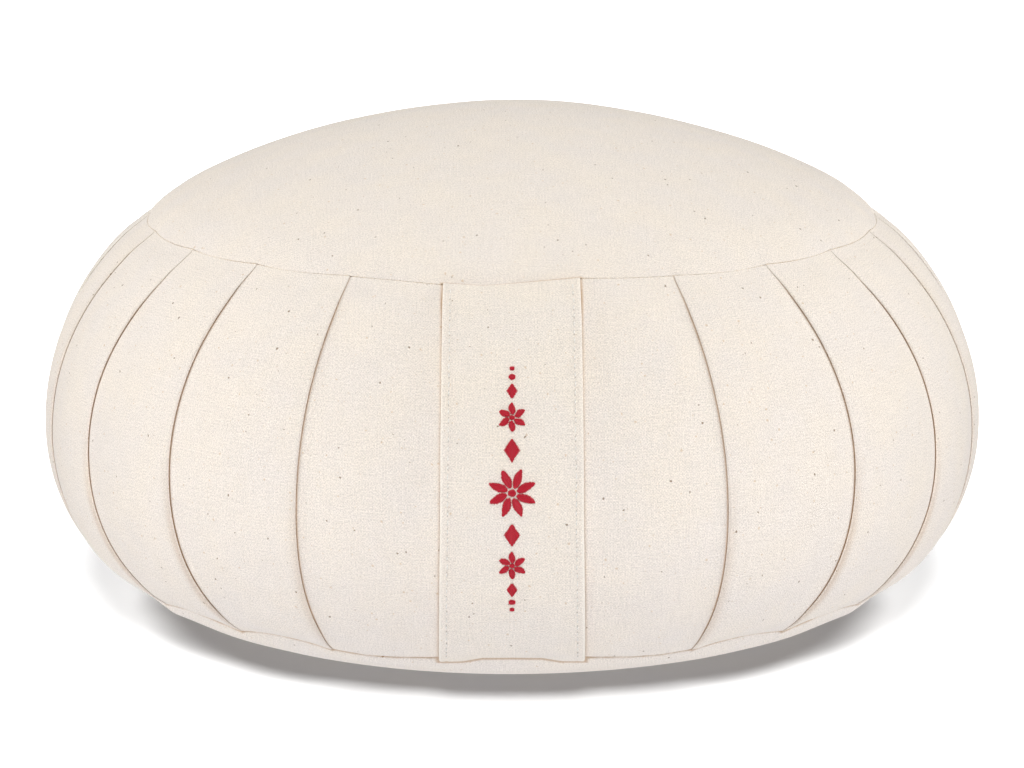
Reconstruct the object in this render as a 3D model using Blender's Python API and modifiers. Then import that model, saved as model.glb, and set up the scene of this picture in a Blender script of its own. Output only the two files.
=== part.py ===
"""A round, pleated meditation cushion in natural cotton canvas, standing on its flat underside.

Metres, +Z up, the front towards -Y, the origin under the middle of the cushion. Two pieces:
the filled body (crowned top panel, pleated side band and bottom panel, sewn into one form) and
the plain strip of cloth that is topstitched over the front of the band.
"""

import math

import bpy
from mathutils import Vector
from mathutils.geometry import interpolate_bezier

# The outline of the filled body, from the middle of the crown down its outer side to the
# middle of the underside. One row for each knot: its name, radius and height, the slope in
# degrees below level with which the outline comes in and how far that slope reaches back, the
# slope with which it goes on and how far that reaches, and the steps to the next knot.
OUTLINE = (
    ("crown", 0.0, 0.1870, 0, 0.0, 0, 0.0632, 8),
    ("top seam", 0.1377, 0.1469, 52, 0.0160, 48, 0.0047, 8),
    ("widest", 0.1767, 0.0700, 90, 0.0485, 90, 0.0343, 8),
    ("bottom seam", 0.1500, 0.0148, 146, 0.0090, 145, 0.0095, 4),
    ("rest edge", 0.1080, 0.0, 180, 0.0180, 180, 0.0, 1),
    ("rest middle", 0.0, 0.0, 180, 0.0, 180, 0.0, 0),
)

# The folds of the side band on one side of the front, from the front round to the back. Each
# opens towards the front. The other side mirrors them. One row for each fold, in degrees: how
# far round from the front it meets the seams, on average, how far it leans from there to each
# seam, and how far further round it bows half way down.
PLEATS = (
    (23.7, 0.4, 0.8),
    (39.0, -0.7, 3.6),
    (54.1, -0.1, 4.9),
    (72.9, 1.2, 1.5),
    (87.4, -0.4, 1.0),
    (101.6, 0.5, 0.6),
    (115.3, -0.4, 1.1),
    (129.8, 0.6, 0.4),
    (143.7, -0.3, 0.9),
    (158.1, 0.4, 0.3),
    (172.0, 0.0, 0.4),
)

LIP_LIFT = 0.0019  # how far a fold's lip stands proud of the panel that runs under it
CREVICE_DEPTH = 0.0012  # how far the cloth dips just in front of a lip
CREVICE_REACH = 0.0010  # from the lip's face to the deepest line of the dip
LIP_ROUND = 0.0014  # from the lip's face to the top of its round edge
DIP_REACH = 0.0036  # from the lip's face to where the panel starts to dip
PANEL_COLUMNS = 2  # lines of points between a panel's lip and its far edge
SEAM_FLATNESS = 0.35  # share of a pleat's relief that is left where a seam holds it down
SEAM_FADE = 0.016  # distance from a seam over which a pleat opens
SEAM_DEPTH = 0.0006  # how far a seam draws the cloth in
SEAM_REACH = 0.0030  # from a seam to where its valley starts
SCALLOP = 0.0016  # how far the top seam bows down in the middle of a panel
SCALLOP_REACH = 0.010  # distance from the seam over which that bow fades

STRIP_WIDTH = 0.050
STRIP_THICKNESS = 0.0016  # two layers of canvas, the edges folded in
STRIP_GAP = 0.0003
STRIP_COLUMNS = 6  # squares across the strip, an even number
STRIP_END_INSET = 0.12  # how far the strip's ends stay back from the seams, in outline steps
STRIP_EDGE = 0.0004
FRONT_COLUMNS = 2  # lines of points between the strip and the first pleat

# The panel at the back stands out as far as the strip does, which centres the whole on its axis.
BACK_LIFT = STRIP_GAP + STRIP_THICKNESS

CANVAS = (0.870, 0.790, 0.690, 1.0)
STRIP_CANVAS = (0.885, 0.805, 0.700, 1.0)
CANVAS_ROUGHNESS = 0.92


def clear_scene():
    for thing in list(bpy.data.objects):
        bpy.data.objects.remove(thing, do_unlink=True)


def canvas_material(name, colour):
    material = bpy.data.materials.new(name)
    material.use_nodes = True
    shader = material.node_tree.nodes["Principled BSDF"]
    shader.inputs["Base Color"].default_value = colour
    shader.inputs["Roughness"].default_value = CANVAS_ROUGHNESS
    shader.inputs["Metallic"].default_value = 0.0
    material.diffuse_color = colour
    return material


def downhill(slope):
    """The direction of the outline at a slope in degrees below level, as radius and height."""
    angle = math.radians(slope)
    return Vector((math.cos(angle), -math.sin(angle)))


def outline_points():
    """The outline's points as (radius, height), and the index of each knot among them."""
    points = []
    knots = {}
    for row, following in zip(OUTLINE, OUTLINE[1:]):
        name, radius, height, _, _, slope_on, reach_on, steps = row
        end_radius, end_height, slope_in, reach_in = following[1:5]
        start = Vector((radius, height))
        end = Vector((end_radius, end_height))
        leave = start + downhill(slope_on) * reach_on
        arrive = end - downhill(slope_in) * reach_in
        knots[name] = len(points)
        points += interpolate_bezier(start, leave, arrive, end, steps + 1)[:-1]
    knots[OUTLINE[-1][0]] = len(points)
    points.append(Vector(OUTLINE[-1][1:3]))
    return points, knots


def with_seam_valleys(points, knots):
    """The same outline with each seam drawn in, between two points close on either side of it."""
    made = []
    places = {}
    for index, point in enumerate(points):
        seam = index in (knots["top seam"], knots["bottom seam"])
        if seam:
            before = points[index - 1] - point
            after = points[index + 1] - point
            along = (after - before).normalized()
            made.append(point + before.normalized() * SEAM_REACH)
        for name, knot in knots.items():
            if knot == index:
                places[name] = len(made)
        if seam:
            made.append(point - Vector((-along.y, along.x)) * SEAM_DEPTH)
            made.append(point + after.normalized() * SEAM_REACH)
        else:
            made.append(point)
    return made, places


POINTS, KNOTS = with_seam_valleys(*outline_points())
TOP_SEAM = KNOTS["top seam"]
BOTTOM_SEAM = KNOTS["bottom seam"]
WIDEST_RADIUS = POINTS[KNOTS["widest"]].x


def distances_along(points):
    """How far each point lies along the outline from its first one."""
    travelled = [0.0]
    for before, after in zip(points, points[1:]):
        travelled.append(travelled[-1] + (after - before).length)
    return travelled


TRAVELLED = distances_along(POINTS)


def band_share(row):
    """-1 at the top seam and above, 1 at the bottom seam and below."""
    top = TRAVELLED[TOP_SEAM]
    bottom = TRAVELLED[BOTTOM_SEAM]
    share = (TRAVELLED[row] - top) / (bottom - top)
    return max(-1.0, min(1.0, 2.0 * share - 1.0))


def pleat_fade(row):
    """How open the pleats are at a row of the outline: 0 off the band, 1 at its middle."""
    if row < TOP_SEAM or row > BOTTOM_SEAM:
        return 0.0
    from_seam = min(TRAVELLED[row] - TRAVELLED[TOP_SEAM], TRAVELLED[BOTTOM_SEAM] - TRAVELLED[row])
    opening = min(1.0, from_seam / SEAM_FADE)
    eased = opening * opening * (3.0 - 2.0 * opening)
    return SEAM_FLATNESS + (1.0 - SEAM_FLATNESS) * eased


def columns():
    """The lines of points down one side of the cushion, from the front to the back.

    Each is a dictionary: lift is the cloth's relief there as a share of LIP_LIFT, panel the
    place across its panel from 0 to 1, and the rest say where it stands (see column_angle).
    """
    found = []
    for step in range(STRIP_COLUMNS // 2 + 1):
        across = STRIP_WIDTH * step / STRIP_COLUMNS
        found.append({"across": across, "lift": 0.0, "panel": 0.5})
    for step in range(1, FRONT_COLUMNS + 1):
        share = step / (FRONT_COLUMNS + 1)
        found.append({"after_strip": share, "lift": 0.0, "panel": 0.5 + 0.5 * share})
    last = len(PLEATS) - 1
    for fold in range(len(PLEATS)):
        found.append({"fold": fold, "off": -DIP_REACH, "lift": 0.0, "panel": 0.97})
        dip = -CREVICE_DEPTH / LIP_LIFT
        found.append({"fold": fold, "off": -CREVICE_REACH, "lift": dip, "panel": 1.0})
        far_lift = BACK_LIFT / LIP_LIFT if fold == last else 0.0
        found.append({"fold": fold, "off": 0.0, "lift": 0.5, "panel": 0.0})
        found.append({"fold": fold, "off": LIP_ROUND, "lift": 1.0, "panel": 0.03})
        for step in range(1, PANEL_COLUMNS + 1):
            share = step / (PANEL_COLUMNS + (0 if fold == last else 1))
            lift = 1.0 + (far_lift - 1.0) * share
            place = share * (0.5 if fold == last else 1.0)
            found.append({"fold": fold, "onward": share, "lift": lift, "panel": place})
    return found


COLUMNS = columns()


def fold_angle(fold, row):
    angle, lean, bow = PLEATS[fold]
    share = band_share(row)
    return math.radians(angle + lean * share + bow * (1.0 - share * share))


def column_angle(column, row):
    """The angle of a column round from the front, at a row of the outline."""
    nearest = min(max(row, TOP_SEAM), BOTTOM_SEAM)
    radius = POINTS[nearest].x
    if "across" in column:
        return math.asin(column["across"] / radius)
    if "after_strip" in column:
        start = math.asin(STRIP_WIDTH / 2 / radius)
        end = fold_angle(0, row) - DIP_REACH / WIDEST_RADIUS
        return start + (end - start) * column["after_strip"]
    fold = column["fold"]
    here = fold_angle(fold, row)
    if "off" in column:
        return here + column["off"] / WIDEST_RADIUS
    start = here + LIP_ROUND / WIDEST_RADIUS
    if fold + 1 < len(PLEATS):
        end = fold_angle(fold + 1, row) - DIP_REACH / WIDEST_RADIUS
    else:
        end = math.pi
    return start + (end - start) * column["onward"]


def outward(row):
    """The outline's outward normal at a row, as radius and height."""
    before = POINTS[max(row - 1, 0)]
    after = POINTS[min(row + 1, len(POINTS) - 1)]
    along = (after - before).normalized()
    return Vector((-along.y, along.x))


def cloth_point(row, column, stand_off=0.0):
    """A point of the cushion's skin, or of what lies stand_off above it."""
    point = POINTS[row].copy()
    bow = SCALLOP * 4.0 * column["panel"] * (1.0 - column["panel"])
    reach = abs(TRAVELLED[row] - TRAVELLED[TOP_SEAM]) / SCALLOP_REACH
    if "fold" in column and reach < 1.0:
        slope = Vector((outward(row).y, -outward(row).x))
        point += slope * bow * (1.0 - reach)
    point += outward(row) * (LIP_LIFT * column["lift"] * pleat_fade(row) + stand_off)
    angle = column_angle(column, row)
    return Vector((point.x * math.sin(angle), -point.x * math.cos(angle), point.y))


def evaluated_copy(source, name):
    """A mesh object with what source's modifiers make of it. The source is removed."""
    graph = bpy.context.evaluated_depsgraph_get()
    mesh = bpy.data.meshes.new_from_object(source.evaluated_get(graph))
    mesh.name = name
    made = bpy.data.objects.new(name, mesh)
    bpy.data.objects.remove(source, do_unlink=True)
    return made


def turned_half(collection):
    """Half of the outline's turned form, with one column of points for each of COLUMNS."""
    mesh = bpy.data.meshes.new("outline")
    corners = [(0.0, -point.x, point.y) for point in POINTS]
    edges = [(n, n + 1) for n in range(len(corners) - 1)]
    mesh.from_pydata(corners, edges, [])
    outline = bpy.data.objects.new("outline", mesh)
    collection.objects.link(outline)
    screw = outline.modifiers.new("turn", "SCREW")
    screw.axis = "Z"
    screw.angle = math.pi
    screw.steps = len(COLUMNS) - 1
    screw.render_steps = screw.steps
    screw.use_merge_vertices = True
    screw.merge_threshold = 0.00001
    return outline


def make_body(collection, material):
    """The filled cushion: its crown, its pleated side and its underside in one closed form."""
    body = evaluated_copy(turned_half(collection), "cushion_body")
    collection.objects.link(body)
    heights = [(point.x, point.y) for point in POINTS]
    turn = math.pi / (len(COLUMNS) - 1)
    for vertex in body.data.vertices:
        x, y, z = vertex.co
        radius = math.hypot(x, y)
        row = min(range(len(POINTS)), key=lambda n: math.dist(heights[n], (radius, z)))
        if POINTS[row].x > 0.0:
            column = round(math.atan2(abs(x), -y) / turn)
            vertex.co = cloth_point(row, COLUMNS[column])
        if row >= KNOTS["rest edge"]:
            vertex.co.z = 0.0
    other_half = body.modifiers.new("other half", "MIRROR")
    other_half.use_axis = (True, False, False)
    other_half.use_clip = True
    other_half.merge_threshold = 0.00001
    body.data.materials.clear()
    body.data.materials.append(material)
    body.data.shade_smooth()
    body.data.set_sharp_from_angle(angle=math.radians(50))
    return body


def between_rows(position, column, stand_off):
    """A point between two rows of the skin, on the flat facet that joins them."""
    row = min(int(position), len(POINTS) - 2)
    above = cloth_point(row, column, stand_off)
    below = cloth_point(row + 1, column, stand_off)
    return above.lerp(below, position - row)


def make_strip(collection, material):
    """The cloth strip down the front, lying on the band from the top seam to the bottom one."""
    rows = BOTTOM_SEAM - TOP_SEAM
    bpy.ops.mesh.primitive_grid_add(x_subdivisions=STRIP_COLUMNS, y_subdivisions=rows, size=1.0)
    strip = bpy.context.object
    strip.name = "front_strip"
    strip.data.name = "front_strip"
    for owner in list(strip.users_collection):
        owner.objects.unlink(strip)
    collection.objects.link(strip)
    for vertex in strip.data.vertices:
        across = round(vertex.co.x * STRIP_COLUMNS)
        position = TOP_SEAM + (0.5 - vertex.co.y) * rows
        position = max(TOP_SEAM + STRIP_END_INSET, min(BOTTOM_SEAM - STRIP_END_INSET, position))
        point = between_rows(position, COLUMNS[abs(across)], STRIP_GAP)
        point.x = math.copysign(point.x, across)
        vertex.co = point
    thicken = strip.modifiers.new("two layers", "SOLIDIFY")
    thicken.thickness = STRIP_THICKNESS
    thicken.offset = 1.0
    soften = strip.modifiers.new("folded edges", "BEVEL")
    soften.width = STRIP_EDGE
    soften.segments = 1
    soften.limit_method = "ANGLE"
    soften.angle_limit = math.radians(60)
    strip.data.materials.append(material)
    strip.data.shade_smooth()
    strip.data.set_sharp_from_angle(angle=math.radians(50))
    return strip


def main():
    clear_scene()
    collection = bpy.data.collections.new("meditation cushion")
    bpy.context.scene.collection.children.link(collection)
    make_body(collection, canvas_material("natural canvas", CANVAS))
    make_strip(collection, canvas_material("strip canvas", STRIP_CANVAS))


main()
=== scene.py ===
import math
import random
import bpy
import numpy as np
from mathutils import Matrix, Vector, noise
from mathutils.geometry import interpolate_bezier


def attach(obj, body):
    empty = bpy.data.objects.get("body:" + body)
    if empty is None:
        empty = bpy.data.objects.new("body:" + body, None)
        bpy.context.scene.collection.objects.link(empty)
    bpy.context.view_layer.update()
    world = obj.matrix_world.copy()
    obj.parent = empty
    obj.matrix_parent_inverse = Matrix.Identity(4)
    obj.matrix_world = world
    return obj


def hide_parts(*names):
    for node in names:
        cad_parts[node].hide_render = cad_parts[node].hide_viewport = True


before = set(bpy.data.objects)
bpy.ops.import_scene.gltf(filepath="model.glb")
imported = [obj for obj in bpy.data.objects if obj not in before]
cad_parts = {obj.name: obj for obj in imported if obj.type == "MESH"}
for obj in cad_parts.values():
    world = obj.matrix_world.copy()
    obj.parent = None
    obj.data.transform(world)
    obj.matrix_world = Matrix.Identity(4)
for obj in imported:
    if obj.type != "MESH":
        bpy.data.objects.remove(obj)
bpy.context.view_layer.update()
scene = bpy.context.scene
scene.view_settings.view_transform = "Standard"  # so that white stays white
print("frame loaded")


# camera, at the height and distance that fit the outline and both seams
cameraSet = {"aim": (0.0, 0.0, 0.0798), "distance": 1.44, "elevation": 12.7, "lens": 132.2}


def makeCamera():
    up = math.radians(cameraSet["elevation"])
    aim = Vector(cameraSet["aim"])
    eye = bpy.data.cameras.new("photoCamera")
    eye.lens = cameraSet["lens"]
    eye.sensor_width = 36.0
    holder = bpy.data.objects.new("photoCamera", eye)
    scene.collection.objects.link(holder)
    holder.location = aim + Vector((0.0, -math.cos(up), math.sin(up))) * cameraSet["distance"]
    holder.rotation_euler = (aim - holder.location).to_track_quat("-Z", "Y").to_euler()
    scene.camera = holder


makeCamera()
print("camera ready")


# the filled form: radius, height, slope coming in, its reach, slope going on, its reach
outlineKnots = [
    (0.0, 0.1870, 0, 0.0, 0, 0.0632),  # crown
    (0.1377, 0.1469, 52, 0.0160, 48, 0.0047),  # top seam
    (0.1767, 0.0700, 90, 0.0485, 90, 0.0343),  # widest
    (0.1500, 0.0148, 146, 0.0090, 145, 0.0095),  # bottom seam
    (0.1080, 0.0, 180, 0.0180, 180, 0.0),  # rest edge
    (0.0, 0.0, 180, 0.0, 180, 0.0),  # rest middle
]

# folds of one side, front to back: degrees round from the front, lean to each seam, bow half way,
# and how far the very ends turn back at the top and the bottom
pleatFolds = [
    (24.1, 0.3, 0.6, 0.3, 0.5),
    (39.5, -0.6, 3.4, 0.6, 1.1),
    (55.0, -0.1, 4.8, 1.4, 2.6),
    (74.0, 0.9, 1.4, 0.8, 1.6),
    (87.4, -0.4, 1.0, 0.8, 1.2),
    (101.6, 0.5, 0.6, 0.5, 1.4),
    (115.3, -0.4, 1.1, 0.9, 1.0),
    (129.8, 0.6, 0.4, 0.4, 1.5),
    (143.7, -0.3, 0.9, 0.8, 1.1),
    (158.1, 0.4, 0.3, 0.5, 1.3),
    (172.0, 0.0, 0.4, 0.3, 0.6),
]
# how deep each fold lies and how much painted shade its crease gets, at these shares of its length from
# the top seam to the bottom one
depthPlaces = (-1.0, -0.8, -0.6, 0.0, 0.5, 0.8, 1.0)
pleatDepths = [
    (0.75, 1.00, 0.90, 0.95, 1.08, 1.08, 0.90),
    (0.15, 0.95, 0.92, 1.10, 1.25, 0.80, 0.10),
    (0.10, 0.22, 0.95, 1.05, 0.85, 0.33, 0.30),
    (0.10, 0.28, 0.40, 0.45, 0.28, 0.28, 0.30),
    (0.08, 0.08, 0.08, 0.15, 0.80, 0.70, 0.30),
    (0.40, 0.80, 0.95, 1.00, 1.00, 0.70, 0.30),
    (0.20, 0.60, 0.90, 1.00, 0.90, 0.80, 0.40),
    (0.50, 0.90, 1.00, 0.95, 0.80, 0.50, 0.20),
    (0.30, 0.50, 0.90, 1.05, 1.00, 0.80, 0.40),
    (0.20, 0.80, 0.90, 1.00, 0.85, 0.40, 0.20),
    (0.40, 0.90, 1.00, 1.05, 1.00, 0.90, 0.40),
]
# each fold's rolled edge, above and below: painted shade in brown where it turns under, painted highlight
# where its crest is pale
pleatCrestShading = [
    (0.0, 0.20), (0.0, 0.32), (0.0, 0.30), (0.10, 0.06), (-0.50, -0.10), (0.0, 0.20),
    (-0.1, 0.15), (0.0, 0.25), (-0.1, 0.15), (0.0, 0.20), (0.0, 0.15),
]

# the whole cushion, in metres where not said
cushion = {
    "lipLift": 0.0011,  # how far a fold stands off the band
    "seamFlatness": 0.42,  # share of a fold's relief left at a seam
    "seamFade": 0.022,  # how far from a seam the relief is full again
    "topScallop": 0.0006,  # the top seam bows down between folds
    "bottomScallop": 0.0017,  # the bottom seam bows up between folds
    "backLift": 0.0011,  # of the plain panel at the back
    "seamRound": 0.0005,  # how the cloth rolls into the bottom seam
    "topSeamRound": 0.00022,
    "seamTuck": 0.0026,  # how deep the edges go into a seam
    "seamPaintedShade": 0.7,  # painted shade on the edges in a seam
    "seamDraw": 0.0008,  # how far the seams draw the filling in
    "topDrawReach": 0.013,
    "bottomDrawReach": 0.010,
    "seamBulk": 0.0004,  # folded layers under a seam push the panels up
    "stripBulk": 0.0002,  # and so do the strip's ends
    "bulkReach": 0.012,
    "pucker": 0.00016,  # the rounds pucker between folds
    "puckerReach": 0.030,
    "underBulge": 0.0011,  # the bottom panel swells just under its seam
    "underReach": 0.006,
    "puff": 0.0007,  # the filling pushes each panel out
    "waver": 0.0004,  # uneven filling
    "waverTurns": (17.0, 60.0),  # broad and fine waver, to a metre
}

# stray of the top seam near the strip: millimetres across, millimetres down the slope
topSeamStray = [
    (-60, 0.0), (-40, 0.3), (-25, 1.1), (-10, 2.0), (7, 0.4), (25, -1.3), (40, -0.5), (60, 0.0),
]
# rise of the bottom seam: degrees round from the front, millimetres up
bottomSeamRise = [
    (0, 2.5), (4, 2.3), (6.5, 0.9), (9, 0.5), (12, 0.1), (16, -0.6), (20, -0.9), (24, -0.4), (27, 0),
]


def downhill(slope):
    angle = math.radians(slope)
    return Vector((math.cos(angle), -math.sin(angle)))


def sampleOutline():
    points, knotAt = [], []
    for here, there in zip(outlineKnots, outlineKnots[1:]):
        start, end = Vector(here[:2]), Vector(there[:2])
        leave = start + downhill(here[4]) * here[5]
        arrive = end - downhill(there[2]) * there[3]
        knotAt.append(len(points))
        points += interpolate_bezier(start, leave, arrive, end, 161)[:-1]
    knotAt.append(len(points))
    points.append(Vector(outlineKnots[-1][:2]))
    return np.array([tuple(p) for p in points]), knotAt


outline, knotAt = sampleOutline()
travel = np.concatenate([[0.0], np.cumsum(np.hypot(*np.diff(outline, axis=0).T))])
slopes = np.gradient(outline, axis=0)
slopes /= np.linalg.norm(slopes, axis=1)[:, None]
topSeam, widest, bottomSeam = (float(travel[n]) for n in knotAt[1:4])
underMiddle = float(travel[-1])


def radiusAt(s):
    # s is metres along the outline from the crown, down and under to the middle
    return np.interp(s, travel, outline[:, 0])


def onCushion(s, angle, lift):
    # angle goes round from the front; lift is metres off the outline
    outR = np.interp(s, travel, -slopes[:, 1])
    outZ = np.interp(s, travel, slopes[:, 0])
    reach = radiusAt(s) + outR * lift
    z = np.interp(s, travel, outline[:, 1]) + outZ * lift
    return np.stack([reach * np.sin(angle), -reach * np.cos(angle), z], axis=-1)


def eased(x):
    x = np.clip(x, 0.0, 1.0)
    return x * x * (3.0 - 2.0 * x)


def bandShare(s):
    # -1 at the top seam, 1 at the bottom one
    return np.clip(2.0 * (s - topSeam) / (bottomSeam - topSeam) - 1.0, -1.0, 1.0)


def foldAngle(fold, s):
    angle, lean, bow, topTurn, bottomTurn = pleatFolds[fold]
    share = bandShare(s)
    angle = angle + lean * share + bow * (1.0 - share * share)
    angle = angle + topTurn * np.maximum((-share - 0.75) / 0.25, 0.0) ** 2
    return np.radians(angle + bottomTurn * np.maximum((share - 0.75) / 0.25, 0.0) ** 2)


def foldOpening(s):
    # share of a fold's relief: less at the seams, where it is sewn down
    near = np.minimum(s - topSeam, bottomSeam - s)
    flat = cushion["seamFlatness"]
    return flat + (1.0 - flat) * eased(near / cushion["seamFade"])


def panelPlace(angle, s):
    # place across its panel, 0 to 1; 0.5 is the middle
    folds = [float(foldAngle(n, s)) for n in range(len(pleatFolds))]
    edges = [-folds[0]] + folds + [2.0 * math.pi - folds[-1]]
    size = np.abs(angle)
    place = np.full(np.shape(size), 0.5)
    for left, right in zip(edges, edges[1:]):
        inside = (size >= left) & (size < right)
        place = np.where(inside, (size - left) / (right - left), place)
    return place


def pastFirstFold(angle, s):
    return np.abs(angle) > float(foldAngle(0, s))


def topStray(angle):
    place = panelPlace(angle, topSeam)
    bow = pastFirstFold(angle, topSeam) * 4.0 * place * (1.0 - place)
    across = outlineKnots[1][0] * np.sin(angle) * 1000.0
    front = np.interp(across, *zip(*topSeamStray)) * (np.cos(angle) > 0.0)
    return cushion["topScallop"] * bow + 0.001 * front


def bottomRise(angle):
    place = panelPlace(angle, bottomSeam)
    bow = pastFirstFold(angle, bottomSeam) * 4.0 * place * (1.0 - place)
    front = np.interp(np.degrees(np.abs(angle)), *zip(*bottomSeamRise))
    return cushion["bottomScallop"] * bow + 0.001 * front


def seamLift(angle, s):
    # the panels ride over the folded layers and over the strip's ends
    place = panelPlace(angle, s)
    layers = pastFirstFold(angle, s) * (1.0 - place) ** 2
    across = np.abs(radiusAt(s) * np.sin(angle))
    strips = eased((0.036 - across) / 0.013) * (np.cos(angle) > 0.0)  # a little past its sides
    return cushion["seamBulk"] * layers + cushion["stripBulk"] * strips


def clothPoints(s, angle, lift):
    # the filled form, drawn in at both seams and swelling under the lower one
    drawn = eased(1.0 - np.abs(s - topSeam) / cushion["topDrawReach"])
    above = eased((s - bottomSeam) / cushion["bottomDrawReach"] + 1.0)
    drawn = drawn + 0.5 * above * (s < bottomSeam)
    past = np.maximum(s - bottomSeam, 0.0) / cushion["underReach"]
    under = past * np.exp(1.0 - past) + 0.5 * (s >= bottomSeam) * -np.exp(-past * 1.5)
    lift = lift - cushion["seamDraw"] * drawn + cushion["underBulge"] * under
    nearTop = eased(1.0 - np.abs(s - topSeam) / 0.030)  # where a seam's stray and rise fade out
    nearBottom = eased(1.0 - np.abs(s - bottomSeam) / 0.013)
    points = onCushion(s + topStray(angle) * nearTop, angle, lift)
    points[..., 2] += bottomRise(angle) * nearBottom
    return points


def withWaver(points, amount):
    flat = points.reshape(-1, 3)
    outward = flat - np.array([0.0, 0.0, 0.075])
    outward /= np.linalg.norm(outward, axis=1)[:, None]
    push = np.empty(len(flat))
    broad, fine = cushion["waverTurns"]
    for n, (x, y, z) in enumerate(flat.tolist()):
        push[n] = noise.noise(Vector((x, y, z)) * broad) + 0.3 * noise.noise(Vector((y, z, x)) * fine)
    settled = eased(flat[:, 2] / 0.012)  # nothing moves where the cushion rests
    flat = flat + outward * (push * amount * settled)[:, None]
    return flat.reshape(points.shape)


def edgeRows(seam, way, roll=cushion["seamRound"], tuck=cushion["seamTuck"]):
    # an edge that rolls over into a seam, from deep in the seam outwards: place, drop
    rows = [(seam + way * 0.00003, -tuck), (seam + way * 0.00004, -roll * 1.7)]
    for step in range(5):
        turn = math.radians(90.0 * step / 4)
        place = seam + way * (0.00005 + roll * (1.0 - math.cos(turn)))
        rows.append((place, roll * (math.sin(turn) - 1.0)))
    return rows


def spacedBetween(start, end, fine, coarse, ramp):
    # places from start to end, close together near both ends
    places, here = [], start
    while here < end:
        places.append(here)
        near = min(here - start, end - here) / ramp
        here += fine + (coarse - fine) * min(1.0, near)
    stretch = (end - start) / (here - start)
    return [start + (p - start) * stretch for p in places] + [end]


def gridFaces(rows, columns, ring):
    faces = []
    for r in range(rows - 1):
        for c in range(columns if ring else columns - 1):
            d = (c + 1) % columns
            a, b = r * columns, (r + 1) * columns
            faces.append((a + c, b + c, b + d, a + d))
    return faces


def makeMesh(name, points, faces, uv, shade, material):
    mesh = bpy.data.meshes.new(name)
    mesh.from_pydata(points.reshape(-1, 3).tolist(), [], faces)
    corner = np.empty(len(mesh.loops), dtype=np.int32)
    mesh.loops.foreach_get("vertex_index", corner)
    layer = mesh.uv_layers.new(name="cloth")  # metres along the threads
    layer.data.foreach_set("uv", uv.reshape(-1, 2)[corner].astype(np.float32).ravel())
    depth = mesh.attributes.new("foldShade", "FLOAT", "POINT")
    depth.data.foreach_set("value", np.asarray(shade, dtype=np.float32).ravel())
    mesh.shade_smooth()
    mesh.materials.append(material)
    made = bpy.data.objects.new(name, mesh)
    scene.collection.objects.link(made)
    return made


# cloth: natural cotton canvas, unbleached, so it keeps its seed flecks
canvas = {
    "colour": (0.905, 0.829, 0.745),
    "coolColour": (0.882, 0.816, 0.756),
    # the colour that painted shade in creases and seams mixes towards
    "paintedShadeColour": (0.41, 0.20, 0.035),
    "paintedHighlightColour": (0.965, 0.925, 0.850),
    # the colour that painted highlight mixes towards
    "darkFleck": (0.27, 0.19, 0.12),
    "tanFleck": (0.66, 0.50, 0.33),
    "threadPitch": 0.50,  # millimetres
    "roughness": 0.93,
    "sheen": 0.12,
    "bump": 0.00011,
    "paintedShadeStrength": 0.85,
}
# flecks: one to a cell of so many millimetres, its size, the share of empty cells, its strength
fleckSorts = [
    (4.8, 0.50, 0.38, "darkFleck", 0.88),
    (3.3, 0.50, 0.40, "tanFleck", 0.60),
    (1.6, 0.30, 0.50, "tanFleck", 0.45),
]


# short helpers for the cloth's nodes
def addNode(tree, kind, inputs=None, **settings):
    made = tree.nodes.new(kind)
    for key, value in settings.items():
        setattr(made, key, value)
    for key, value in (inputs or {}).items():
        socket = made.inputs[key]
        if isinstance(value, bpy.types.NodeSocket):
            tree.links.new(value, socket)
        elif socket.type == "RGBA" and len(value) == 3:
            socket.default_value = (*value, 1.0)
        else:
            socket.default_value = value
    return made


def maths(tree, operation, *values):
    return addNode(tree, "ShaderNodeMath", dict(enumerate(values)), operation=operation).outputs[0]


def scaled(tree, vector, scale):
    return addNode(tree, "ShaderNodeVectorMath", {0: vector, 1: scale}, operation="MULTIPLY").outputs[0]


def mottle(tree, vector, scale, detail=2.0):
    settings = {"Vector": vector, "Scale": scale, "Detail": detail}
    return addNode(tree, "ShaderNodeTexNoise", settings).outputs["Fac"]


def spread(tree, value, low, high, toLow=0.0, toHigh=1.0):
    settings = {"Value": value, "From Min": low, "From Max": high, "To Min": toLow, "To Max": toHigh}
    return addNode(tree, "ShaderNodeMapRange", settings).outputs["Result"]


def blend(tree, share, first, second, how="MIX"):
    settings = {0: share, 6: first, 7: second}
    return addNode(tree, "ShaderNodeMix", settings, data_type="RGBA", blend_type=how).outputs[2]


def bent(tree, vector, scale, amount):
    crooked = addNode(tree, "ShaderNodeTexNoise", {"Vector": vector, "Scale": scale, "Detail": 1.0})
    settings = {0: crooked.outputs["Color"], 1: (amount, amount, 0.0), 2: vector}
    return addNode(tree, "ShaderNodeVectorMath", settings, operation="MULTIPLY_ADD").outputs[0]


def startMaterial(name, look):
    material = bpy.data.materials.new(name)
    material.use_nodes = True
    shader = material.node_tree.nodes["Principled BSDF"]
    shader.inputs["Roughness"].default_value = look["roughness"]
    shader.inputs["Sheen Weight"].default_value = look["sheen"]
    shader.inputs["Sheen Roughness"].default_value = 0.5
    shader.inputs["Specular IOR Level"].default_value = look.get("gloss", 0.25)
    return material, material.node_tree, shader


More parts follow.
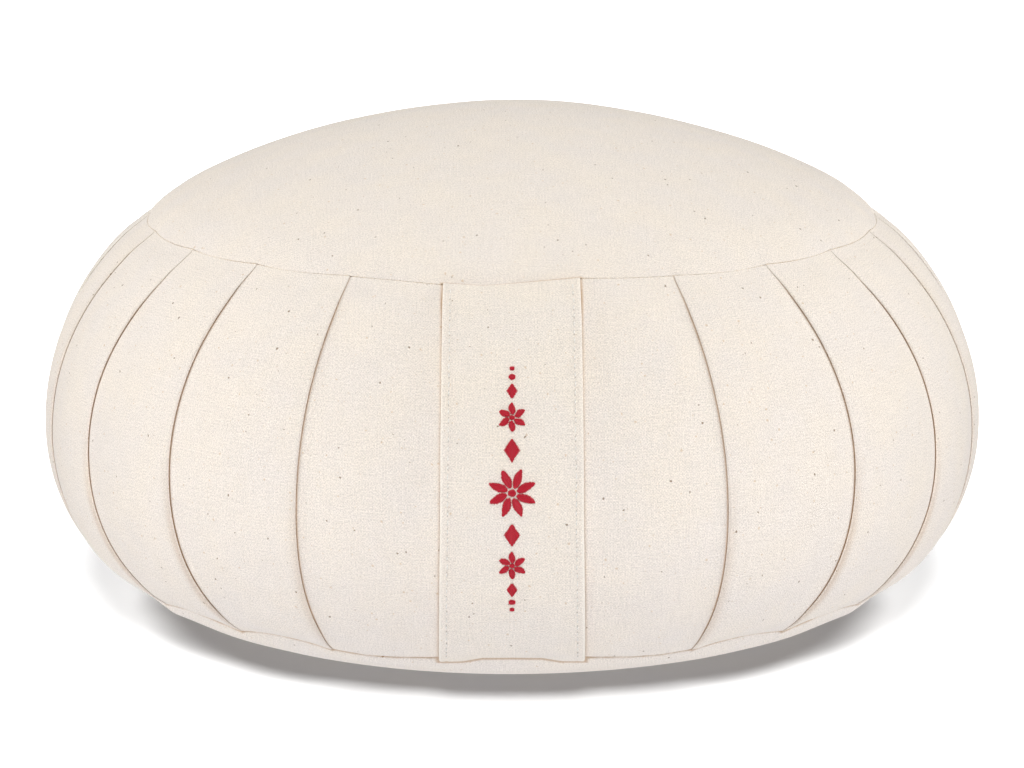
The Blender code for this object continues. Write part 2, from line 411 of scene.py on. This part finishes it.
def canvasMaterial(name, tint):
    material, tree, shader = startMaterial(name, canvas)
    flat = addNode(tree, "ShaderNodeUVMap", uv_map="cloth").outputs["UV"]
    mm = scaled(tree, flat, (1000.0, 1000.0, 1000.0))
    place = addNode(tree, "ShaderNodeSeparateXYZ", {0: bent(tree, mm, 0.05, 1.0)})

    # plain weave: each thread runs over one and under the next
    turn = math.pi / canvas["threadPitch"]
    warp = maths(tree, "SINE", maths(tree, "MULTIPLY", place.outputs[0], turn))
    weft = maths(tree, "SINE", maths(tree, "MULTIPLY", place.outputs[1], turn))
    over = maths(tree, "MULTIPLY", warp, weft)
    crowns = maths(tree, "POWER", maths(tree, "ABSOLUTE", over), 0.6)
    weave = maths(tree, "MULTIPLY_ADD", over, 0.28, maths(tree, "MULTIPLY", crowns, 0.6))

    # uneven yarn shows as streaks along both threads, and loose fibres as fuzz
    warpYarn = mottle(tree, scaled(tree, mm, (1.9, 0.09, 1.0)), 1.0)
    weftYarn = mottle(tree, scaled(tree, mm, (0.09, 1.9, 1.0)), 1.0)
    yarn = maths(tree, "ADD", warpYarn, weftYarn)
    fuzz = mottle(tree, mm, 1.9, 1.0)
    patch = spread(tree, mottle(tree, mm, 0.045, 3.0), 0.35, 0.65)

    colour = blend(tree, patch, canvas["colour"], canvas["coolColour"])
    # painted light and shade of the weave relief: thread crowns lighter, the dips between threads darker
    value = maths(tree, "MULTIPLY_ADD", over, 0.055, maths(tree, "MULTIPLY_ADD", crowns, 0.05, 0.955))
    value = maths(tree, "MULTIPLY", value, spread(tree, yarn, 0.72, 1.28, 0.955, 1.04))
    value = maths(tree, "MULTIPLY", value, spread(tree, fuzz, 0.3, 0.7, 0.84, 1.13))
    grey = addNode(tree, "ShaderNodeCombineColor", {0: value, 1: value, 2: value}).outputs[0]
    colour = blend(tree, 1.0, colour, grey, "MULTIPLY")

    specks = bent(tree, mm, 1.4, 0.9)
    for cell, size, empty, fleck, strength in fleckSorts:
        cells = addNode(tree, "ShaderNodeTexVoronoi", {"Vector": specks, "Scale": 1.0 / cell})
        seed = addNode(tree, "ShaderNodeSeparateColor", {0: cells.outputs["Color"]})
        reach = spread(tree, seed.outputs[1], 0.0, 1.0, 0.4 * size / cell, size / cell)
        inside = spread(tree, maths(tree, "SUBTRACT", reach, cells.outputs["Distance"]), 0.0, 0.12 / cell)
        there = maths(tree, "GREATER_THAN", seed.outputs[0], empty)
        share = maths(tree, "MULTIPLY", maths(tree, "MULTIPLY", inside, there), strength)
        colour = blend(tree, share, colour, canvas[fleck])

    # painted shade: brown deep in the folds and seams, along the seam lines and beside the strip
    shade = addNode(tree, "ShaderNodeAttribute", attribute_name="foldShade").outputs["Fac"]
    paintedShadeShare = maths(tree, "MULTIPLY", shade, canvas["paintedShadeStrength"])
    colour = blend(tree, paintedShadeShare, colour, canvas["paintedShadeColour"])
    paintedHighlightShare = maths(tree, "MINIMUM", maths(tree, "MULTIPLY", shade, -1.0), 1.0)
    colour = blend(tree, paintedHighlightShare, colour, canvas["paintedHighlightColour"])  # painted highlight along the strip's sides and on some fold crests
    colour = blend(tree, 1.0, colour, tint, "MULTIPLY")
    tree.links.new(colour, shader.inputs["Base Color"])

    height = maths(tree, "MULTIPLY_ADD", yarn, 0.9, maths(tree, "MULTIPLY_ADD", fuzz, 0.5, weave))
    bump = addNode(tree, "ShaderNodeBump", {"Height": height, "Distance": canvas["bump"], "Strength": 1.0})
    tree.links.new(bump.outputs[0], shader.inputs["Normal"])
    return material


# sewing threads; twist is the length of one turn in millimetres
threads = {
    "seam": {"colour": (0.84, 0.71, 0.54), "roughness": 0.75, "sheen": 0.1, "twist": 1.1},
    "strip": {"colour": (0.97, 0.94, 0.885), "roughness": 0.65, "sheen": 0.1, "twist": 1.1},
    "motif": {
        "colour": (0.58, 0.008, 0.030),
        "roughness": 0.45,
        "sheen": 0.04,
        "twist": 0.9,
        "gloss": 0.35,
    },
}
# painted shade where a stitch goes into the cloth
needleHoleShade = (0.24, 0.15, 0.08)


def threadMaterial(name, look):
    material, tree, shader = startMaterial(name, look)
    flat = addNode(tree, "ShaderNodeUVMap", uv_map="cloth").outputs["UV"]
    place = addNode(tree, "ShaderNodeSeparateXYZ", {0: flat})
    length = maths(tree, "MULTIPLY", place.outputs[0], 2000.0 * math.pi / look["twist"])
    turned = maths(tree, "MULTIPLY_ADD", place.outputs[1], 4.0 * math.pi, length)
    ply = maths(tree, "MULTIPLY_ADD", maths(tree, "SINE", turned), 0.5, 0.5)
    # painted shade in the grooves between the plies of the twist, lighter on the plies
    twistShade = tuple(c * 0.62 for c in look["colour"])
    colour = blend(tree, maths(tree, "POWER", ply, 0.5), twistShade, look["colour"])
    holeShade = addNode(tree, "ShaderNodeAttribute", attribute_name="foldShade").outputs["Fac"]
    colour = blend(tree, holeShade, colour, needleHoleShade)  # painted shade where a stitch goes into the cloth
    tree.links.new(colour, shader.inputs["Base Color"])
    bump = addNode(tree, "ShaderNodeBump", {"Height": ply, "Distance": 0.00006, "Strength": 0.8})
    tree.links.new(bump.outputs[0], shader.inputs["Normal"])
    return material


bodyCanvas = canvasMaterial("naturalCanvas", (1.0, 1.0, 1.0))
stripCanvas = canvasMaterial("stripCanvas", (1.0, 1.0, 0.99))
seamThread = threadMaterial("seamThread", threads["seam"])
stripThread = threadMaterial("stripThread", threads["strip"])
motifThread = threadMaterial("motifThread", threads["motif"])
print("materials ready")


panelColumns = 720  # points round each of the two rounds


def seamShade(angle, drop, fromSeam, look):
    # painted shade along a seam, as a brown line which comes and goes round the cushion
    strips = (np.abs(np.sin(angle)) * look["radius"] < 0.5 * look["stripWidth"]) & (np.cos(angle) > 0.0)
    line = np.maximum(eased(-drop / cushion["seamRound"] - 0.2), eased(1.5 - fromSeam / look["reach"]))
    line = np.where(strips, np.maximum(line, eased((look["stripReach"] - fromSeam) / 0.0006)), line)
    around = [noise.noise(Vector((math.sin(a), math.cos(a), look["seed"])) * 38.0) for a in angle.tolist()]
    faint = look["faint"] + (1.0 - look["faint"]) * eased(np.array(around) * 1.6 + 0.5)
    return line * np.maximum(faint, look["strip"] * strips) * look["strength"]


def roundPanel(name, rows, middle, seam, look):
    # rows go from the panel's middle out to its seam: place, drop
    angles = np.linspace(-math.pi, math.pi, panelColumns, endpoint=False)
    s = np.array([r[0] for r in rows])[:, None] + 0.0 * angles
    drop = np.array([r[1] for r in rows])[:, None]
    fromSeam = np.abs(seam - s)
    place = panelPlace(angles, seam)
    pucker = np.sin(place * 2.0 * math.pi) * pastFirstFold(angles, seam)
    lift = drop + seamLift(angles, seam) * eased(1.0 - fromSeam / cushion["bulkReach"])
    lift = lift + cushion["pucker"] * pucker * eased(1.0 - fromSeam / cushion["puckerReach"])
    points = clothPoints(s, angles + 0.0 * s, lift)
    points[..., 2] = np.maximum(points[..., 2], 0.0)
    fromMiddle = np.abs(s - middle)
    uv = np.stack([fromMiddle * np.sin(angles), -fromMiddle * np.cos(angles)], axis=-1)
    shade = seamShade(angles, drop, fromSeam, look)
    points = np.vstack([points.reshape(-1, 3), onCushion(middle, 0.0, 0.0)[None, :]])
    uv = np.vstack([uv.reshape(-1, 2), [[0.0, 0.0]]])
    shade = np.append(shade.ravel(), 0.0)
    faces = gridFaces(len(rows), len(angles), True)
    last = len(points) - 1
    faces += [(last, n, (n + 1) % len(angles)) for n in range(len(angles))]
    if middle > seam:
        faces = [f[::-1] for f in faces]
    return makeMesh(name, withWaver(points, cushion["waver"]), faces, uv, shade, bodyCanvas)


# painted shade along the two seams, as brown lines
topSeamShade = {
    "radius": 0.1377,
    "reach": 0.00010,  # how far it spreads on to the round
    "strength": 0.30,
    "faint": 0.1,  # what is left of it where it is faintest
    "seed": 0.2,
    "stripWidth": 0.0485,  # over the strip it is wider, and stronger by so many times
    "stripReach": 0.0010,
    "strip": 2.1,
}
bottomSeamShade = {
    "radius": 0.1500,
    "reach": 0.00050,
    "strength": 0.62,
    "faint": 0.6,
    "seed": 0.9,
    "stripWidth": 0.0521,
    "stripReach": 0.0031,
    "strip": 1.05,
}


def makeTopPanel():
    places = spacedBetween(0.003, topSeam - 0.0010, 0.0005, 0.0034, 0.020)
    rows = [(s, 0.0) for s in places] + edgeRows(topSeam, -1.0, cushion["topSeamRound"])[::-1]
    return roundPanel("top_panel", rows, 0.0, topSeam, topSeamShade)


def makeBottomPanel():
    places = spacedBetween(bottomSeam + 0.0010, underMiddle - 0.003, 0.0004, 0.0045, 0.025)
    rows = edgeRows(bottomSeam, 1.0) + [(s, 0.0) for s in places]
    return roundPanel("bottom_panel", rows[::-1], underMiddle, bottomSeam, bottomSeamShade)


# one fold cut across, from the panel that runs under it to the lip's top: millimetres back from
# the lip's face, millimetres out
foldPath = [
    (-4.2, 0.0), (-3.0, -0.01), (-2.2, -0.03), (-1.6, -0.07), (-1.1, -0.12), (-0.7, -0.18),
    (-0.35, -0.25), (0.0, -0.33), (0.6, -0.43), (1.4, -0.50), (2.4, -0.56), (2.8, -0.52),
    (2.85, -0.46), (2.5, -0.43), (1.7, -0.39), (1.1, -0.35),
]
# the lip's round, cut across: its middle, height and radius in millimetres
lip = {"middle": 0.66, "height": 0.30, "radius": 0.66, "steps": 9}
# the cloth behind the lip: millimetres back, millimetres out, share of the crest's painted shade
lipBack = [(1.2, 1.03, 0.85), (1.9, 1.12, 0.55), (2.8, 1.22, 0.22), (4.4, 1.30, 0.0)]
# places beside the strip, where the band dips under its side: millimetres off it
besideStrip = (-0.6, 0.0, 0.5, 1.1, 1.8, 2.7, 3.8, 5.2)
bandStep = 0.0026  # widest gap between the band's columns
panelShift = 0.11  # each panel shows another stretch of the cloth


def foldColumns():
    # millimetres back and out, whether on the lip, its share of the crest's painted shade, and cloth
    # length back from the lip's top
    path = [(t, h, False, 0.0) for t, h in foldPath]
    for step in range(lip["steps"]):
        turn = math.radians(262.0 - 172.0 * step / (lip["steps"] - 1))
        t = lip["middle"] + lip["radius"] * math.cos(turn)
        h = lip["height"] + lip["radius"] * math.sin(turn)
        path.append((t, h, True, float(eased((h - 0.3) / 0.5))))
    top = len(path) - 1
    path += [(t, h, True, crest) for t, h, crest in lipBack]
    columns = []
    for n, (t, h, onLip, crest) in enumerate(path):
        back = 0.0
        if onLip and n < top:
            back = sum(math.dist(path[m][:2], path[m + 1][:2]) for m in range(n, top))
        # painted shade under the lip and on the cloth running under it
        deep = eased((0.30 - h) / 0.6) * (n < top) if onLip else eased((-h - 0.16) / 0.27)
        part = {"t": t / 1000.0, "h": h / 1000.0, "lip": onLip, "back": back / 1000.0}
        part.update({"shade": float(deep), "crest": crest})
        columns.append(part)
    return columns


def bandColumns():
    # the band from the front round one side to the back; every value is for all rows at once
    s = bandRows[:, 0]
    radius = radiusAt(s)
    opening = foldOpening(s)
    squeeze = 0.45 + 0.55 * opening  # a fold is narrower where it is sewn down
    inside = eased(np.minimum(s - topSeam, bottomSeam - s) / cushion["seamFade"])
    folds = [foldAngle(n, s) for n in range(len(pleatFolds))]
    middles = [0.0 * s] + [(a + b) / 2 for a, b in zip(folds, folds[1:])] + [math.pi + 0.0 * s]
    half = stripHalf(s)
    columns = []

    def addColumn(angle, lift, panel, shade, back=0.0):
        across = radius * (angle - middles[panel]) - back + panelShift * panel
        columns.append((angle, lift, across, shade + 0.0 * s))

    for share in (0.0, 0.3, 0.6, 0.85):
        addColumn(np.arcsin(share * half / radius), 0.0 * s, 0, 0.0)
    crease = 0.3 + 0.3 * eased(1.0 - (s - topSeam) / 0.045)  # painted shade at the strip's side, seen as a brown line, stronger near the top seam
    crease = crease + 0.4 * np.exp(-(((s - topSeam - 0.008) / 0.006) ** 2))
    lower = eased((s - widest) / 0.03)
    for off in besideStrip:
        sunk = math.exp(-((off / 2.4) ** 2))
        # painted shade beside the strip: a narrow line at its side and a faint broad shade lower down
        brown = math.exp(-((off / 0.6) ** 2)) * crease + 0.05 * math.exp(-((off / 3.0) ** 2)) * lower
        addColumn(np.arcsin((half + off / 1000.0) / radius), -0.0002 * sunk * opening, 0, brown)
    start = np.arcsin((half + besideStrip[-1] / 1000.0) / radius)
    startLift = 0.0 * s
    for fold in range(len(pleatFolds) + 1):
        last = fold == len(pleatFolds)
        end = math.pi + 0.0 * s if last else folds[fold] + foldPath[0][0] / 1000.0 * squeeze / radius
        endLift = cushion["backLift"] * opening if last else 0.0 * s
        count = max(4, int(round(float(np.max((end - start) * radius)) / bandStep)))
        for step in range(1, count + 1 if last else count):
            share = step / count
            lift = startLift + (endLift - startLift) * share
            lift = lift + cushion["puff"] * 4.0 * share * (1.0 - share) * inside * (not last)
            addColumn(start + (end - start) * share, lift, fold, 0.0)
        if last:
            break
        depth = np.interp(bandShare(s), depthPlaces, pleatDepths[fold])
        relief = opening * (0.25 + 0.75 * np.minimum(depth, 1.0) ** 0.7)
        crest = np.interp(bandShare(s), (-0.1, 0.4), pleatCrestShading[fold]) * (0.3 + 0.7 * opening)
        for part in foldColumns():
            angle = folds[fold] + part["t"] * squeeze / radius
            # painted shade in the fold's crevice, and painted shade or highlight on its crest
            shade = part["shade"] * depth * (0.75 + 0.25 * opening) + part["crest"] * crest
            addColumn(angle, part["h"] * relief, fold + part["lip"], shade, part["back"])
        start, startLift = angle, part["h"] * relief
    return columns


# rows of the band, seam to seam: place, drop
bandRows = np.array(
    edgeRows(topSeam, 1.0, cushion["topSeamRound"])
    + [(s, 0.0) for s in spacedBetween(topSeam + 0.0010, bottomSeam - 0.0010, 0.0007, 0.0024, 0.016)]
    + edgeRows(bottomSeam, -1.0)[::-1]
)


def makeSideBand():
    side = bandColumns()
    left = [(-angle, lift, -across, shade) for angle, lift, across, shade in side[1:-1]][::-1]
    columns = left + side
    angle, lift, across, shade = (np.stack(part, axis=1) for part in zip(*columns))
    s = bandRows[:, :1] + 0.0 * angle
    drop = bandRows[:, 1:2]
    points = withWaver(clothPoints(s, angle, lift + drop), cushion["waver"])
    uv = np.stack([across, s - topSeam], axis=-1)
    # painted shade on the band's edges where they roll into the seams
    deep = eased(-drop / cushion["seamRound"] - 0.2)
    shade = np.where(deep > 0.0, np.maximum(shade, cushion["seamPaintedShade"] * deep), shade)
    faces = gridFaces(len(bandRows), len(columns), True)
    print("side band", len(bandRows), "rows", len(columns), "columns")
    return makeMesh("side_band", points, faces, uv, shade, bodyCanvas)


# front strip, sewn into both seams and topstitched along its sides
strip = {
    "topWidth": 0.0475,
    "middleWidth": 0.0487,
    "bottomWidth": 0.0511,
    "gap": 0.0003,
    "thickness": 0.0016,
    "edgeRound": 0.0008,
    "looseEdge": 0.0001,  # the sides stand off a little below the top seam
    "seamRound": 0.0011,
    "stitchInset": 0.0026,
    "stitchPitch": 0.0031,
    "stitchLength": 0.0023,
    "stitchRadius": 0.00023,
    "stitchDent": 0.00016,
    "stitchArch": (-0.00022, 0.00012, 0.00024, 0.00024, 0.00012, -0.00022),
}
stripFront = strip["gap"] + strip["thickness"]


def stripHalf(s):
    widths = (strip["topWidth"], strip["middleWidth"], strip["bottomWidth"])
    return 0.5 * np.interp(s, (topSeam, widest, bottomSeam), widths)


def onStrip(across, s, lift):
    # a point over the strip's front, at metres across and along, lifted off the band
    half = stripHalf(s)
    dent = np.exp(-(((np.abs(across) - half + strip["stitchInset"]) / 0.0006) ** 2))
    loose = np.exp(-(((s - topSeam - 0.016) / 0.012) ** 2)) * eased((np.abs(across) / half - 0.75) / 0.25)
    ride = lift - strip["stitchDent"] * dent * (lift > 0.001) + strip["looseEdge"] * loose
    angle = np.arcsin(across / (radiusAt(s) + lift))
    return clothPoints(s, angle, ride)


def makeStrip():
    places = spacedBetween(topSeam + 0.0014, bottomSeam - 0.0014, 0.0007, 0.0016, 0.008)
    rows = edgeRows(topSeam, 1.0, strip["seamRound"]) + [(s, 0.0) for s in places]
    rows += edgeRows(bottomSeam, -1.0, strip["seamRound"])[::-1]
    s = np.array(rows)[:, :1]
    drop = np.array(rows)[:, 1:]
    half = stripHalf(s)
    bend = strip["edgeRound"]
    inner = half - bend
    # once round: along the front, over the right side, along the back, over the left side
    leftEdge, rightEdge = np.linspace(-1, -0.8, 9)[:-1], np.linspace(0.8, 1, 9)[1:]
    face = np.concatenate([leftEdge, np.linspace(-0.8, 0.8, 26), rightEdge])
    turns = np.radians(np.linspace(90, -90, 9))[1:-1]
    back = np.linspace(1, -1, 12)
    side, rise = bend * np.cos(turns), bend * np.sin(turns)
    across = np.hstack([inner * face, inner + side, inner * back, -inner - side])
    middle = strip["gap"] + bend
    lift = np.concatenate([stripFront + 0 * face, middle + rise, strip["gap"] + 0 * back, middle - rise])
    s = s + 0.0 * across
    lift = lift + 0.0 * across
    points = withWaver(onStrip(across, s, lift + drop), cushion["waver"])
    uv = np.stack([across + 0.31, s], axis=-1)  # from another place in the cloth than the band
    count = across.shape[1]
    faces = gridFaces(len(rows), count, True)
    faces.append(tuple(range(count)))
    faces.append(tuple(range((len(rows) - 1) * count, len(rows) * count))[::-1])
    # painted shade underneath and in the seams, and a painted highlight along the sides, stronger low down
    tucked = cushion["seamPaintedShade"] * eased((-drop - 0.00012) / 0.0004) + 0.0 * lift
    shade = np.maximum(0.45 * eased((0.0010 - lift) / 0.0007), tucked)
    # painted highlight along the sides of the strip's front
    sideHighlight = np.exp(-(((np.abs(across) - half + 0.00030) / 0.00038) ** 2)) * (lift > 0.0013)
    lower = 0.12 + 0.45 * eased((s - topSeam - 0.03) / 0.07)
    shade = shade - lower * sideHighlight * (drop > -0.0002)
    return makeMesh("front_strip_cloth", points, faces, uv, shade, stripCanvas)


def makeThreads(name, paths, radius, material, holeShade=0.0):
    # every stitch is a short round thread that tapers into the cloth at both ends
    sides = 7
    points, faces, uv, shade = [], [], [], []
    for path in paths:
        path = np.asarray(path)
        runs = np.gradient(path, axis=0)
        runs /= np.linalg.norm(runs, axis=1)[:, None]
        outward = path.mean(axis=0) - np.array([0.0, 0.0, 0.075])
        sideways = np.cross(runs, outward)
        sideways /= np.linalg.norm(sideways, axis=1)[:, None]
        upward = np.cross(sideways, runs)
        lengths = np.concatenate([[0.0], np.cumsum(np.linalg.norm(np.diff(path, axis=0), axis=1))])
        first = len(points)
        # painted shade at both ends of a stitch, stronger on some stitches than others
        depth = holeShade * abs(math.sin(7.3 * first))
        for n, point in enumerate(path):
            thick = radius * (0.55 if n in (0, len(path) - 1) else 1.0)
            for k in range(sides):
                turn = 2.0 * math.pi * k / sides
                points.append(point + thick * (math.cos(turn) * sideways[n] + math.sin(turn) * upward[n]))
                uv.append((lengths[n] + 0.013 * first, k / sides))
                shade.append(depth if n in (0, len(path) - 1) else 0.3 * depth * (n in (1, len(path) - 2)))
        for n in range(len(path) - 1):
            for k in range(sides):
                a, b = first + n * sides + k, first + n * sides + (k + 1) % sides
                faces.append((a, b, b + sides, a + sides))
        faces.append(tuple(first + k for k in range(sides))[::-1])
        faces.append(tuple(first + (len(path) - 1) * sides + k for k in range(sides)))
    return makeMesh(name, np.array(points), faces, np.array(uv), shade, material)


def makeStripStitches():
    paths = []
    rng = random.Random(4)
    arch = np.array(strip["stitchArch"])
    for side in (-1.0, 1.0):
        start = topSeam + 0.0030
        while start + strip["stitchPitch"] < bottomSeam - 0.0025:
            s = start + strip["stitchLength"] * np.linspace(0.0, 1.0, 6)
            across = side * (stripHalf(s) - strip["stitchInset"]) + rng.uniform(-0.00010, 0.00010)
            paths.append(withWaver(onStrip(across, s, stripFront + arch), cushion["waver"]))
            start += strip["stitchPitch"] * rng.uniform(0.97, 1.03)
    return makeThreads("strip_stitches", paths, strip["stitchRadius"], stripThread, 1.0)


seamStitch = {
    "pitch": 0.0031,
    "length": 0.0022,
    "radius": 0.00016,
    "depth": 0.00036,
    "arch": (-0.00022, 0.0, 0.00006, 0.0, -0.00022),
}


def makeSeamStitches(name, seam, seed):
    paths = []
    rng = random.Random(seed)
    angle = -math.pi
    radius = float(radiusAt(seam))
    while angle < math.pi - seamStitch["pitch"] / radius:
        angles = angle + seamStitch["length"] / radius * np.linspace(0.0, 1.0, 5)
        place = panelPlace(angles, seam)
        band = pastFirstFold(angles, seam) * (1.0 - place) * cushion["lipLift"] * cushion["seamFlatness"]
        across = np.abs(radius * np.sin(angles))
        band = np.maximum(band, stripFront * (across < 0.0245) * (np.cos(angles) > 0.0))
        lift = 0.5 * (band + seamLift(angles, seam)) - seamStitch["depth"]
        lift = lift + np.array(seamStitch["arch"])
        paths.append(withWaver(clothPoints(seam + 0.0 * angles, angles, lift), cushion["waver"]))
        angle += seamStitch["pitch"] / radius * rng.uniform(0.95, 1.05)
    return makeThreads(name, paths, seamStitch["radius"], seamThread)


# motif on the strip: plain flowers, lozenges and dots in satin stitch; millimetres
motif = {
    "below": -0.012,  # from the widest line, up the strip
    # height on the strip, petals, their start and end, width, eye
    "flowers": [
        (0.0, 8, 1.8, 8.4, 3.4, 1.35),
        (25.0, 6, 1.1, 5.0, 2.7, 0.9),
        (-25.0, 6, 1.1, 5.0, 2.7, 0.9),
    ],
    # height, length, width
    "lozenges": [(14.2, 8.0, 6.0), (-14.2, 8.0, 6.0), (34.0, 5.6, 4.2), (-34.0, 5.6, 4.2)],
    # height, radius
    "dots": [(38.9, 1.15), (-38.9, 1.15), (41.9, 0.8), (-41.9, 0.8)],
    "pitch": 0.36,
    "radius": 0.00019,
    "pad": 0.00018,  # how far the stitches stand off the cloth
    "sink": (-0.00032, -0.00004, 0, 0, 0, -0.00004, -0.00032),  # their ends go into it
}


def satin(centre, direction, length, width, slant, rng):
    # threads laid side by side across a shape; width gives its width at a share of its length
    rows = []
    run = Vector((math.cos(direction), math.sin(direction)))
    cross = Vector((-run.y, run.x))
    lean = (cross + run * slant).normalized()
    steps = int(length / motif["pitch"])
    for step in range(steps + 1):
        share = (step + 0.5) / (steps + 1)
        half = width(share) / 2 + rng.uniform(-0.12, 0.12)
        if half < 0.22:
            continue
        middle = Vector(centre) + run * (share - 0.5) * length
        rows.append((middle - lean * half, middle + lean * half))
    return rows


def makeMotif():
    rng = random.Random(11)
    rows = []
    rounds = list(motif["dots"])
    for at, petals, start, end, wide, eye in motif["flowers"]:
        rounds.append((at, eye))
        for n in range(petals):
            direction = 2.0 * math.pi * (n + 0.5) / petals
            out = (start + end) / 2
            centre = (out * math.cos(direction), at + out * math.sin(direction))
            leaf = lambda share: wide * math.sin(math.pi * share ** 0.8) ** 0.75
            rows += satin(centre, direction, end - start, leaf, 0.35, rng)
    for at, size in rounds:
        disc = lambda share: 2.0 * size * math.sqrt(max(0.0, 1.0 - (2.0 * share - 1.0) ** 2))
        rows += satin((0.0, at), 0.0, 2.0 * size, disc, 0.0, rng)
    for at, length, wide in motif["lozenges"]:
        lozenge = lambda share: wide * (1.0 - abs(2.0 * share - 1.0))
        rows += satin((0.0, at), math.pi / 2, length, lozenge, 0.0, rng)
    paths = []
    share = np.linspace(0.0, 1.0, 7)
    lift = stripFront + motif["pad"] + (0.00016 * np.sin(math.pi * share) + np.array(motif["sink"]))
    for start, end in rows:
        across = (start.x + (end.x - start.x) * share) / 1000.0
        up = (start.y + (end.y - start.y) * share) / 1000.0
        s = widest + motif["below"] - up
        paths.append(withWaver(onStrip(across, s, lift), cushion["waver"]))
    print("motif", len(paths), "threads")
    return makeThreads("strip_motif", paths, motif["radius"], motifThread)


topPanel = makeTopPanel()
bottomPanel = makeBottomPanel()
sideBand = makeSideBand()
print("cushion sewn")
frontStrip = makeStrip()
stripStitches = makeStripStitches()
topStitches = makeSeamStitches("top_seam_stitches", topSeam, 21)
bottomStitches = makeSeamStitches("bottom_seam_stitches", bottomSeam, 22)
motifStitches = makeMotif()
print("strip and stitches sewn")

bodyPieces = [topPanel, bottomPanel, sideBand, topStitches, bottomStitches]
stripPieces = [frontStrip, stripStitches, motifStitches]
pieces = bodyPieces + stripPieces
for piece in pieces:
    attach(piece, "root")
for piece in bodyPieces:
    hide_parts("cushion_body")
for piece in stripPieces:
    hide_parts("front_strip")


# floor and light
studio = {
    "floorColour": (0.40, 0.408, 0.425),
    "floorHalf": 12.0,
    "floorLevel": -0.0004,
    "skyAbove": 0.20,
    "skyBelow": 0.44,  # stands for the light that a pale floor throws back
    "lamps": [
        # name, place, size, watts, colour
        ("highFront", (0.0, -1.6, 2.1), 1.6, 43.0, (1.0, 0.987, 0.960)),
        ("underFront", (0.0, -1.4, -1.8), 1.8, 31.0, (0.96, 0.96, 1.0)),
        ("lowFront", (0.0, -2.2, -0.7), 1.6, 3.0, (0.97, 0.97, 1.0)),
        ("sideLeft", (-2.5, 0.0, 0.8), 1.6, 37.5, (1.0, 0.985, 0.968)),
        ("sideRight", (2.5, 0.0, 0.8), 1.6, 37.5, (1.0, 0.985, 0.968)),
    ],
    # keep the floor white all round: name, lean, degrees round from the front, strength
    "floorSuns": [
        ("sunFront", 40.0, 0.0, 9.4),
        ("sunLeft", 43.0, -95.0, 7.2),
        ("sunRight", 43.0, 95.0, 7.2),
    ],
    "sunSpread": 22.0,
    "sunColour": (1.0, 0.98, 0.941),
    "aim": (0.0, 0.0, 0.08),  # all of them point at the middle of the cushion
}


def makeFloor():
    mesh = bpy.data.meshes.new("floor")
    half, level = studio["floorHalf"], studio["floorLevel"]
    corners = [(-half, -half, level), (half, -half, level), (half, half, level), (-half, half, level)]
    mesh.from_pydata(corners, [], [(0, 1, 2, 3)])
    material = bpy.data.materials.new("paleFloor")
    material.use_nodes = True
    shader = material.node_tree.nodes["Principled BSDF"]
    shader.inputs["Base Color"].default_value = (*studio["floorColour"], 1.0)
    shader.inputs["Roughness"].default_value = 0.6
    shader.inputs["Specular IOR Level"].default_value = 0.2
    mesh.materials.append(material)
    floor = bpy.data.objects.new("floor", mesh)
    scene.collection.objects.link(floor)
    floor.visible_diffuse = False  # the sky below stands in for the light it throws back
    floor.visible_glossy = False
    floor.visible_shadow = False
    return floor


def makeLights(floor, cushionPieces):
    world = bpy.data.worlds.new("studio")
    world.use_nodes = True
    tree = world.node_tree
    direction = addNode(tree, "ShaderNodeTexCoord").outputs["Generated"]
    height = addNode(tree, "ShaderNodeSeparateXYZ", {0: direction}).outputs[2]
    strength = spread(tree, height, -0.1, 0.1, studio["skyBelow"], studio["skyAbove"])
    tree.nodes["Background"].inputs["Color"].default_value = (1.0, 1.0, 1.0, 1.0)
    tree.links.new(strength, tree.nodes["Background"].inputs["Strength"])
    scene.world = world
    litFloor = bpy.data.collections.new("litFloor")
    litFloor.objects.link(floor)
    litCushion = bpy.data.collections.new("litCushion")
    for piece in cushionPieces:
        litCushion.objects.link(piece)

    def hang(name, kind, place, lit):
        lamp = bpy.data.lights.new(name, kind)
        holder = bpy.data.objects.new(name, lamp)
        holder.location = place
        towards = Vector(studio["aim"]) - Vector(place)
        holder.rotation_euler = towards.to_track_quat("-Z", "Y").to_euler()
        scene.collection.objects.link(holder)
        holder.light_linking.receiver_collection = lit
        holder.light_linking.blocker_collection = litCushion
        return lamp

    for name, place, size, watts, colour in studio["lamps"]:
        lamp = hang(name, "AREA", place, litCushion)
        lamp.size = size
        lamp.energy = watts
        lamp.color = colour
    for name, lean, turn, strength in studio["floorSuns"]:
        lean, turn = math.radians(lean), math.radians(turn)
        out, above = 3.0 * math.sin(lean), 3.0 * math.cos(lean) + studio["aim"][2]
        lamp = hang(name, "SUN", (out * math.sin(turn), -out * math.cos(turn), above), litFloor)
        lamp.angle = math.radians(studio["sunSpread"])
        lamp.energy = strength
        lamp.color = studio["sunColour"]


makeLights(makeFloor(), pieces)
print("studio ready")
